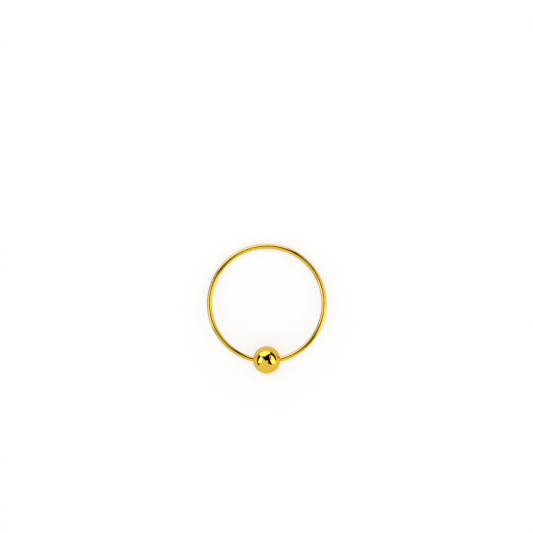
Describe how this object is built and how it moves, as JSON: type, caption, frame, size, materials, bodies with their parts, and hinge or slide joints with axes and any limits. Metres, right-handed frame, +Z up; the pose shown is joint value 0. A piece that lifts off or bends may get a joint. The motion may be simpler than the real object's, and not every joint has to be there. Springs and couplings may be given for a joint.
{
  "type": "nose ring",
  "caption": "Slim gold nose ring: an open hoop of round wire closed by a polished captive ball that turns on the wire's two ends.",
  "frame": {"origin": "on the surface that the ring lies on, under the middle of its bounding box", "axes": "+Z up; +Y from the ball towards the far side of the hoop; X through the ball's two dimples"},
  "size_m": [0.0108, 0.0118, 0.0025],
  "materials": {
    "polished_gold": "mirror polished yellow gold"
  },
  "bodies": {
    "hoop": {"hoop": "polished_gold"},
    "ball": {"ball": "polished_gold"}
  },
  "joints": [
    {"name": "ball_spin", "type": "hinge", "parent": "hoop", "child": "ball", "pos_m": [0, -0.00464, 0.00125], "axis": [1, 0, 0], "continuous": true}
  ]
}
